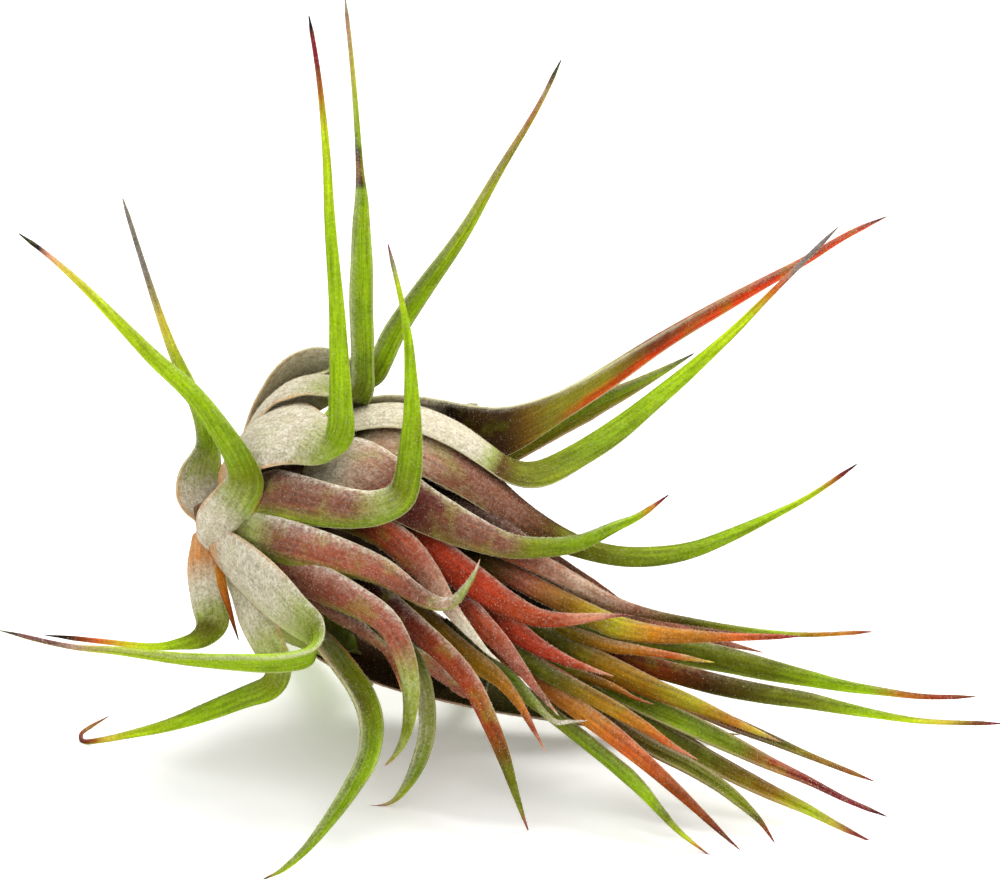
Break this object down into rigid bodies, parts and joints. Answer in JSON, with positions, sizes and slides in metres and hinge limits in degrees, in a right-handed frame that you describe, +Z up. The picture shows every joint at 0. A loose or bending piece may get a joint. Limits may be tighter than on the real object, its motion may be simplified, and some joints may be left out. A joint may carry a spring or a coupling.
{
  "type": "air plant",
  "caption": "Air plant lying on its side: a rosette of recurved, tapering leaves on a short stem, resting on its leaf tips.",
  "frame": {"origin": "middle of the bounding box, on the surface that the plant rests on", "axes": "+X to the crown's end, the plant's long way; +Y to the far side; +Z up"},
  "size_m": [0.1256, 0.0992, 0.094],
  "materials": {
    "outer_leaf": "satin",
    "middle_leaf": "satin",
    "inner_leaf": "satin",
    "heart_leaf": "satin",
    "dry_leaf": "matte",
    "stem_wood": "matte"
  },
  "bodies": {
    "root": {"back_heart_leaf_1": "heart_leaf", "back_heart_leaf_2": "heart_leaf", "back_heart_leaf_3": "heart_leaf", "back_inner_leaf_1": "inner_leaf", "back_inner_leaf_2": "inner_leaf", "back_inner_leaf_3": "inner_leaf", "back_middle_leaf_1": "middle_leaf", "back_middle_leaf_2": "middle_leaf", "back_middle_leaf_3": "middle_leaf", "back_middle_leaf_4": "middle_leaf", "back_outer_leaf_1": "outer_leaf", "back_outer_leaf_2": "outer_leaf", "back_outer_leaf_3": "outer_leaf", "back_outer_leaf_4": "outer_leaf", "back_outer_leaf_5": "outer_leaf", "dry_leaf": "dry_leaf", "heart_leaf_1": "heart_leaf", "heart_leaf_10": "heart_leaf", "heart_leaf_11": "heart_leaf", "heart_leaf_12": "heart_leaf", "heart_leaf_2": "heart_leaf", "heart_leaf_3": "heart_leaf", "heart_leaf_4": "heart_leaf", "heart_leaf_5": "heart_leaf", "heart_leaf_6": "heart_leaf", "heart_leaf_7": "heart_leaf", "heart_leaf_8": "heart_leaf", "heart_leaf_9": "heart_leaf", "inner_leaf_1": "inner_leaf", "inner_leaf_10": "inner_leaf", "inner_leaf_11": "inner_leaf", "inner_leaf_2": "inner_leaf", "inner_leaf_3": "inner_leaf", "inner_leaf_4": "inner_leaf", "inner_leaf_5": "inner_leaf", "inner_leaf_6": "inner_leaf", "inner_leaf_7": "inner_leaf", "inner_leaf_8": "inner_leaf", "inner_leaf_9": "inner_leaf", "middle_leaf_1": "middle_leaf", "middle_leaf_10": "middle_leaf", "middle_leaf_11": "middle_leaf", "middle_leaf_2": "middle_leaf", "middle_leaf_3": "middle_leaf", "middle_leaf_4": "middle_leaf", "middle_leaf_5": "middle_leaf", "middle_leaf_6": "middle_leaf", "middle_leaf_7": "middle_leaf", "middle_leaf_8": "middle_leaf", "middle_leaf_9": "middle_leaf", "outer_leaf_1": "outer_leaf", "outer_leaf_2": "outer_leaf", "outer_leaf_3": "outer_leaf", "outer_leaf_4": "outer_leaf", "outer_leaf_5": "outer_leaf", "outer_leaf_6": "outer_leaf", "outer_leaf_7": "outer_leaf", "outer_leaf_8": "outer_leaf", "outer_leaf_9": "outer_leaf", "stem": "stem_wood"}
  },
  "joints": []
}
